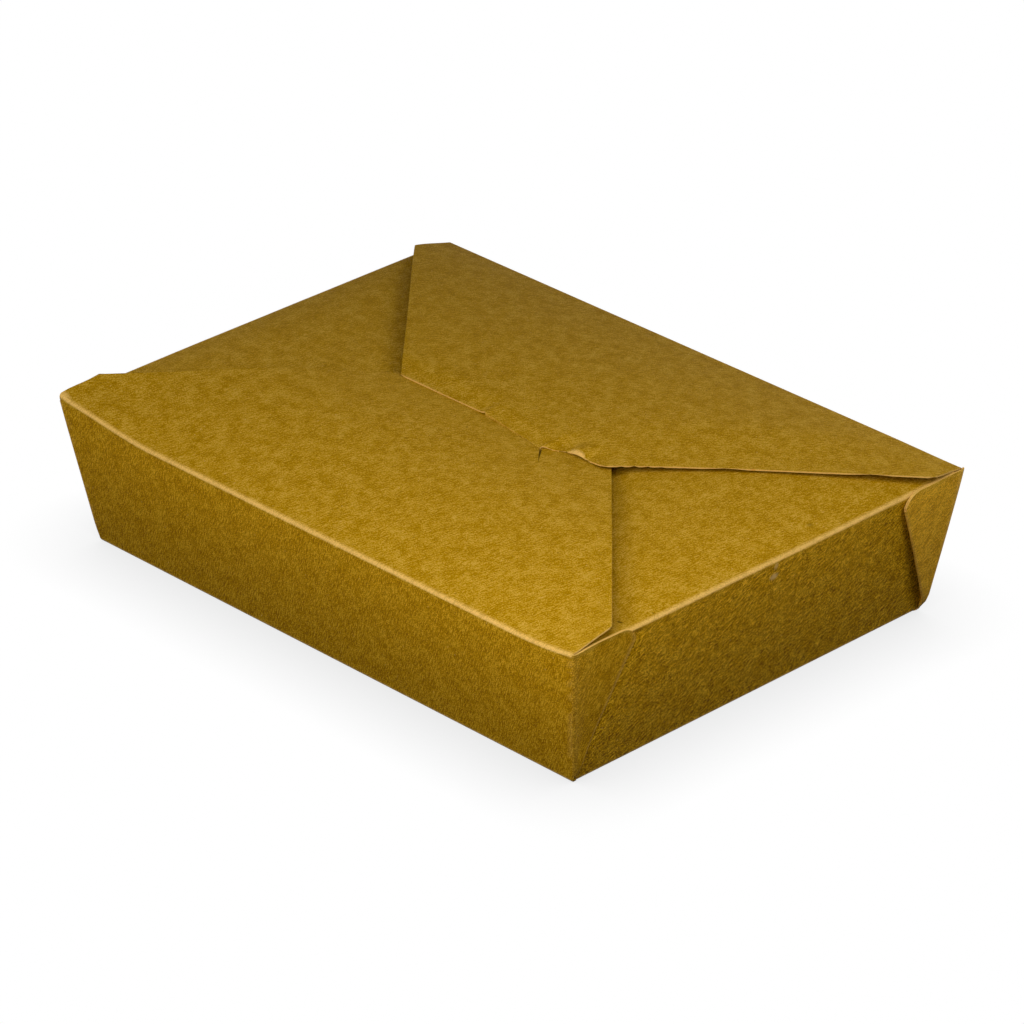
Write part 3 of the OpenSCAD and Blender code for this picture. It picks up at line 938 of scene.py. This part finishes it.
# The far webs are painted paler, as painted light.
WEB_CONTRAST, WEB_PAINTED_LIGHT = 0.7, 0.33
WALL_TINT = (1.0, 0.94, 0.4, 1.0)
FLECKS = ((FLECK_DARK, 7.0, 0.035), (FLECK_PALE, 31.0, 0.03))
FLECK_LONG, FLECK_SOFT, FLECK_SHOWS = 0.55, 2.2, 0.6
TORN_LOW, TORN_HIGH, TORN_LEAST = 1.7, 2.15, 0.6
EDGE_PALE = 0.75
FIBRE_RELIEF, RELIEF_DEPTH = 0.8, 0.00011
FACE_ROUGH, EDGE_ROUGH, SHINE = 0.58, 0.85, 0.03
# A mark has its centre on the blank, its half sizes, its turn in degrees, its colour and its strength.
SCUFF, SMUDGE, NICK = "#d8b066", "#8a6a14", "#d79a3c"
MARKS = (
    ((138.8, 1.0), (1.3, 2.0), 0, SCUFF, 0.85),
    ((142.3, 1.2), (1.5, 1.0), 0, SCUFF, 0.6),
    ((149.2, -56.6), (1.4, 0.5), -10, FLECK_DARK, 1.0),
    ((146.0, -46.9), (0.6, 0.35), 0, FLECK_DARK, 0.6),
    ((150.2, 21.5), (1.0, 1.2), 0, SMUDGE, 0.6),
    ((-3.2, -186.0), (0.3, 0.7), 40, FLECK_DARK, 0.7),
    ((70.9, 171.2), (0.7, 0.5), 0, NICK, 0.8),
    # The rubbed left corner: partly wear, partly a painted highlight on its rounded corner.
    ((-104.6, -120.0), (3.2, 1.4), 0, CREASE_COLOUR, 0.7),
)
MARK_FRAY, MARK_OUTER, MARK_INNER = 1.6, 0.25, -0.35


# %% The board's material
def noise_fac(tree, place, scale, detail, roughness, distortion=0.0):
    """One noise pattern over a place."""
    return add_node(tree, "ShaderNodeTexNoise", {"Vector": place, "Scale": scale, "Detail": detail,
                                                 "Roughness": roughness, "Distortion": distortion}).outputs["Fac"]


def kraft_board(name, raw_edge=False):
    """Unbleached kraft board, calendered on its outer face. raw_edge is the cut edge, paler and rougher."""
    material = bpy.data.materials.new(name)
    tree = fresh_tree(material)
    sheet_uv = add_node(tree, "ShaderNodeUVMap", uv_map="blank").outputs["UV"]
    flat = add_node(tree, "ShaderNodeMapping", {"Vector": sheet_uv, "Scale": (1 / MM,) * 3}).outputs[0]

    # Where on the blank: on an end panel, on an end flap, on a web, on a wall.
    places = add_node(tree, "ShaderNodeSeparateXYZ", {0: sheet_uv}).outputs
    across = maths(tree, "ABSOLUTE", places["X"])
    down = maths(tree, "ABSOLUTE", places["Y"])
    past_side = maths(tree, "SUBTRACT", down, BASE_W / 2 * MM)
    slant = maths(tree, "MULTIPLY_ADD", maths(tree, "MAXIMUM", past_side, 0.0), -CORNER_SLANT, across)
    at_end = maths(tree, "GREATER_THAN", slant, BASE_L / 2 * MM)
    at_flap = maths(tree, "GREATER_THAN", across, WALL_SPAN_X)
    at_web = maths(tree, "MULTIPLY", maths(tree, "GREATER_THAN", down, WEB_SPAN_Y), at_end)
    inside_x = mapped(tree, across, WALL_SPAN_X - WALL_BLEND, WALL_SPAN_X, 1.0, 0.0)
    inside_y = mapped(tree, down, WALL_SPAN_Y - WALL_BLEND, WALL_SPAN_Y, 1.0, 0.0)
    on_wall = maths(tree, "MULTIPLY", inside_x, inside_y)

    # The three noises, with the fibres turned on each panel, and the colour that their sum picks.
    turn = maths(tree, "MULTIPLY_ADD", at_end, FIBRE_TURN_END - FIBRE_TURN_LONG, FIBRE_TURN_LONG)
    turn = maths(tree, "MULTIPLY_ADD", at_flap, FIBRE_TURN_END_FLAP - FIBRE_TURN_END, turn)
    turn = maths(tree, "MULTIPLY_ADD", at_web, FIBRE_TURN_WEB - FIBRE_TURN_END, turn)
    turned = add_node(tree, "ShaderNodeVectorRotate", {"Vector": flat, "Angle": turn}, rotation_type="Z_AXIS",
                      invert=True).outputs[0]
    stretched = add_node(tree, "ShaderNodeMapping", {
        "Vector": turned, "Scale": (1 / FIBRE_LONG_MM, 1 / FIBRE_WIDE_MM, 1.0)}).outputs[0]
    clouds = noise_fac(tree, flat, 1 / CLOUD_MM, 3.0, 0.55)
    fibres = noise_fac(tree, stretched, 1.0, 1.0, 0.5, 0.4)
    grain = noise_fac(tree, flat, 1 / GRAIN_MM, 2.0, 0.65)
    fine = maths(tree, "MULTIPLY_ADD", grain, GRAIN_SHARE, maths(tree, "MULTIPLY", fibres, FIBRE_SHARE))
    mottle = maths(tree, "MULTIPLY_ADD", clouds, CLOUD_SHARE, fine)
    ramp = add_node(tree, "ShaderNodeValToRGB", {"Fac": mapped(tree, mottle, TONE_LOW, TONE_HIGH)})
    ramp.color_ramp.elements[0].color = linear(KRAFT_DARK)
    ramp.color_ramp.elements[1].color = linear(KRAFT_PALE)
    ramp.color_ramp.elements.new(0.5).color = linear(KRAFT_MID)

    # The walls: rougher and yellower, painted darker towards the base and lighter towards the rim as painted shade,
    # and the far webs painted paler as painted light.
    contrast = maths(tree, "MULTIPLY_ADD", at_end, END_WALL_CONTRAST - WALL_CONTRAST, WALL_CONTRAST)
    contrast = maths(tree, "MULTIPLY_ADD", at_web, WEB_CONTRAST - END_WALL_CONTRAST, contrast)
    swing = maths(tree, "MULTIPLY", maths(tree, "SUBTRACT", fine, FINE_MIDDLE), on_wall)
    # Painted shade: the walls are darker towards the base and lighter towards the rim.
    height = maths(tree, "MAXIMUM", maths(tree, "SUBTRACT", across, BASE_L / 2 * MM), past_side)
    painted_wall_shade = mapped(tree, height, 0.0, BOX_H * MM, -WALL_PAINTED_SHADE, WALL_PAINTED_SHADE)
    level = maths(tree, "MULTIPLY_ADD", painted_wall_shade, on_wall, 1.0)
    # Painted light: the far webs are painted paler.
    far_web_painted_light = maths(tree, "MULTIPLY", maths(tree, "GREATER_THAN", places["Y"], 0.0), at_web)
    level = maths(tree, "MULTIPLY_ADD", far_web_painted_light, WEB_PAINTED_LIGHT, level)
    gain = maths(tree, "MULTIPLY_ADD", swing, contrast, level)
    colour = add_node(tree, "ShaderNodeVectorMath", {0: ramp.outputs["Color"], "Scale": gain},
                      operation="SCALE").outputs[0]
    colour = mixed_colour(tree, on_wall, colour, WALL_TINT, blend_type="MULTIPLY")

    # Flecks, rubbed creases and marks.
    for tint, seed, size in FLECKS:
        moved = add_node(tree, "ShaderNodeMapping", {"Vector": flat, "Location": (seed, seed, 0),
                                                     "Rotation": (0, 0, math.radians(seed)),
                                                     "Scale": (1.0, FLECK_LONG, 1.0)}).outputs[0]
        cells = add_node(tree, "ShaderNodeTexVoronoi", {"Vector": moved, "Scale": 1 / FLECK_MM}).outputs["Distance"]
        speck = mapped(tree, cells, size * FLECK_SOFT, size, 0.0, FLECK_SHOWS)
        colour = mixed_colour(tree, speck, colour, linear(tint))
    wear = add_node(tree, "ShaderNodeAttribute", attribute_name="wear").outputs["Fac"]
    torn = mapped(tree, mottle, TORN_LOW, TORN_HIGH, TORN_LEAST, 1.0)
    rubbed = maths(tree, "MULTIPLY", wear, torn, use_clamp=True)
    colour = mixed_colour(tree, EDGE_PALE if raw_edge else rubbed, colour, linear(CREASE_COLOUR))
    for centre, radii, turned_by, tint, strength in MARKS:
        apart = vector_maths(tree, "SUBTRACT", flat, (*centre, 0)).outputs[0]
        apart = add_node(tree, "ShaderNodeVectorRotate", {"Vector": apart, "Angle": math.radians(turned_by)},
                         rotation_type="Z_AXIS").outputs[0]
        apart = vector_maths(tree, "MULTIPLY", apart, (1 / radii[0], 1 / radii[1], 0)).outputs[0]
        apart = vector_maths(tree, "LENGTH", apart).outputs["Value"]
        apart = maths(tree, "MULTIPLY_ADD", grain, -MARK_FRAY, apart)
        inside = mapped(tree, apart, MARK_OUTER, MARK_INNER, 0.0, strength)
        colour = mixed_colour(tree, inside, colour, linear(tint))

    relief = maths(tree, "MULTIPLY_ADD", fibres, FIBRE_RELIEF, grain)
    bump = add_node(tree, "ShaderNodeBump", {"Height": relief, "Distance": RELIEF_DEPTH,
                                             "Strength": 1.0}).outputs[0]
    shader = add_node(tree, "ShaderNodeBsdfPrincipled", {"Base Color": colour, "Normal": bump})
    shader.inputs["Roughness"].default_value = EDGE_ROUGH if raw_edge else FACE_ROUGH
    shader.inputs["Specular IOR Level"].default_value = SHINE
    add_node(tree, "ShaderNodeOutputMaterial", {"Surface": shader.outputs[0]})
    return material


board_face = kraft_board("unbleached_kraft_board")
board_edge = kraft_board("kraft_board_cut_edge", raw_edge=True)
print("Materials:", board_face.name, board_edge.name)

# %% [markdown]
# ## From sheets to board
# A Solidify modifier gives the sheets their thickness, inwards, so that the outer faces stay where they were
# folded. Its rim gets the second material, because a cut edge shows torn fibres. The result is made the
# piece's own mesh, at the origin and in metres.

# %% Thickness, seams and pieces
SHARP_ANGLE = math.radians(38)


def finish_sheet(sheet, name):
    """Object from a sheet in millimetres: scaled to metres, given its thickness and its two materials."""
    blank = sheet.verts.layers.float_vector["blank"]
    bmesh.ops.dissolve_degenerate(sheet, dist=0.0005, edges=sheet.edges)
    uv = sheet.loops.layers.uv.new("blank")
    for face in sheet.faces:
        face.smooth = True
        for loop in face.loops:
            loop[uv].uv = loop.vert[blank].xy * MM
    sheet.verts.layers.float_vector.remove(blank)
    bmesh.ops.scale(sheet, vec=(MM, MM, MM), verts=sheet.verts)
    mesh = bpy.data.meshes.new(name)
    sheet.to_mesh(mesh)
    sheet.free()
    piece = new_object(name, mesh)
    mesh.materials.append(board_face)
    mesh.materials.append(board_edge)
    wall = piece.modifiers.new("board", "SOLIDIFY")
    wall.thickness = BOARD * MM
    wall.offset = -1
    wall.use_even_offset = True
    wall.thickness_clamp = 1.0
    wall.material_offset_rim = 1
    solid = bpy.data.meshes.new_from_object(piece.evaluated_get(bpy.context.evaluated_depsgraph_get()))
    piece.modifiers.clear()
    piece.data = solid
    solid.name = name
    solid.set_sharp_from_angle(angle=SHARP_ANGLE)
    print(name, "has", len(solid.polygons), "faces")
    return piece


tray_piece = finish_sheet(tray, "folded_tray")
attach(tray_piece, "box")
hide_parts("box")

lid_piece = finish_sheet(lid, "lid_flap_with_tongue")
crease_low, crease_high = (follow(far_start, far_runs, far_rows[i][0]) for i in (-CREASE_ROWS, -1))
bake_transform(lid_piece, "box", "lid", start=(0, crease_low[0] * MM, crease_low[1] * MM),
         end=(0, crease_high[0] * MM, crease_high[1] * MM))
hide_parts("lid_flap")

# %% [markdown]
# ## Floor and light
# The photograph shows the box on pure white. A pale floor carries it here: the camera sees it white, with a
# painted shadow close to the box from an occlusion node. All other rays see a floor painted dark grey close to
# the box, as painted shade, and pale further off, so that it throws little light up at the walls. Five small
# softboxes stand in a dim room: one near the near corner, one overhead, one at the left, one at the right and a
# strong one far behind. Each was tried alone, and their powers were then fitted to the brightness of the panels
# in the photograph.

# %% Floor
def seen_directly(tree):
    """1 for rays from the camera or off a shiny or clear surface, else 0."""
    path = add_node(tree, "ShaderNodeLightPath").outputs
    seen = maths(tree, "MAXIMUM", path["Is Camera Ray"], path["Is Glossy Ray"])
    return maths(tree, "MAXIMUM", seen, path["Is Transmission Ray"])


FLOOR_HALF = 3.0
FLOOR_PAPER = "#e2e2e0"
# Painted shade on the floor that other rays see: its dark grey and how far it reaches from the box.
PAINTED_FLOOR_SHADE = "#1c1c1b"
PAINTED_FLOOR_SHADE_REACH = 0.45
SHADE_REACH, SHADE_LOW, SHADE_DARKEST = 0.03, 0.3, 0.8
floor_sheet = bmesh.new()
bmesh.ops.create_grid(floor_sheet, x_segments=1, y_segments=1, size=FLOOR_HALF)
floor_mesh = bpy.data.meshes.new("floor")
floor_sheet.to_mesh(floor_mesh)
floor_sheet.free()
floor = new_object("floor", floor_mesh)
paper = bpy.data.materials.new("pale_floor_paper")
tree = fresh_tree(paper)
# Painted shadow: the white floor that the camera sees is darkened by occlusion close to the box.
shade = add_node(tree, "ShaderNodeAmbientOcclusion", {"Distance": SHADE_REACH}, samples=16).outputs["AO"]
lit = mapped(tree, shade, SHADE_LOW, 1.0, SHADE_DARKEST, 1.0)
white = add_node(tree, "ShaderNodeEmission", {"Color": lit, "Strength": 1.0}).outputs[0]
place = add_node(tree, "ShaderNodeTexCoord").outputs["Object"]
half_size = (cad_high - cad_low) / 2
folded = vector_maths(tree, "ABSOLUTE", place).outputs[0]
outside = vector_maths(tree, "SUBTRACT", folded, (half_size.x, half_size.y, 0)).outputs[0]
outside = vector_maths(tree, "MAXIMUM", outside, (0, 0, 0)).outputs[0]
far_off = vector_maths(tree, "LENGTH", outside).outputs["Value"]
# Painted shade: the floor that other rays see is dark grey close to the box.
open_floor = mapped(tree, far_off, 0.0, PAINTED_FLOOR_SHADE_REACH, interpolation_type="SMOOTHSTEP")
colour = mixed_colour(tree, open_floor, linear(PAINTED_FLOOR_SHADE), linear(FLOOR_PAPER))
grey = add_node(tree, "ShaderNodeBsdfDiffuse", {"Color": colour}).outputs[0]
mixed = add_node(tree, "ShaderNodeMixShader", {0: seen_directly(tree), 1: grey, 2: white}).outputs[0]
add_node(tree, "ShaderNodeOutputMaterial", {"Surface": mixed})
floor_mesh.materials.append(paper)
print("Floor:", round(2 * FLOOR_HALF), "metres wide")

# %% Room and lamps
ROOM_DIM = 0.015
world = bpy.data.worlds.new("pale_room")
tree = fresh_tree(world)
dim = add_node(tree, "ShaderNodeBackground", {"Color": linear("#ffffff"), "Strength": ROOM_DIM}).outputs[0]
bright = add_node(tree, "ShaderNodeBackground", {"Color": linear("#ffffff"), "Strength": 1.0}).outputs[0]
mixed = add_node(tree, "ShaderNodeMixShader", {0: seen_directly(tree), 1: dim, 2: bright}).outputs[0]
add_node(tree, "ShaderNodeOutputWorld", {"Surface": mixed})
bpy.context.scene.world = world
bpy.context.scene.view_settings.view_transform = "Standard"

# A lamp has its name, its place and the place it is aimed at in metres, its width in metres and its power in watts.
LAMPS = (
    ("near_corner_softbox", (0.20, -0.24, 0.20), (0.08, -0.06, 0.03), 0.15, 0.40),
    ("overhead_softbox", (0.16, -0.18, 0.38), (0.06, -0.05, 0.03), 0.25, 0.25),
    ("left_softbox", (-0.12, -0.36, 0.24), (0.02, -0.05, 0.03), 0.25, 0.65),
    ("right_softbox", (0.34, 0.12, 0.30), (0.05, 0.0, 0.03), 0.25, 0.64),
    ("far_softbox", (0.22, 0.95, 0.25), (0.10, 0.0, 0.03), 0.30, 1.6),
)
for name, place, target, size, power in LAMPS:
    lamp = new_object(name, bpy.data.lights.new(name, "AREA"))
    lamp.data.size, lamp.data.energy = size, power
    stand_and_aim(lamp, place, (Vector(target) - Vector(place)).to_track_quat("-Z", "Y"))
print("Lamps:", len(LAMPS), "with", round(sum(power for *_, power in LAMPS), 2), "watts in all")
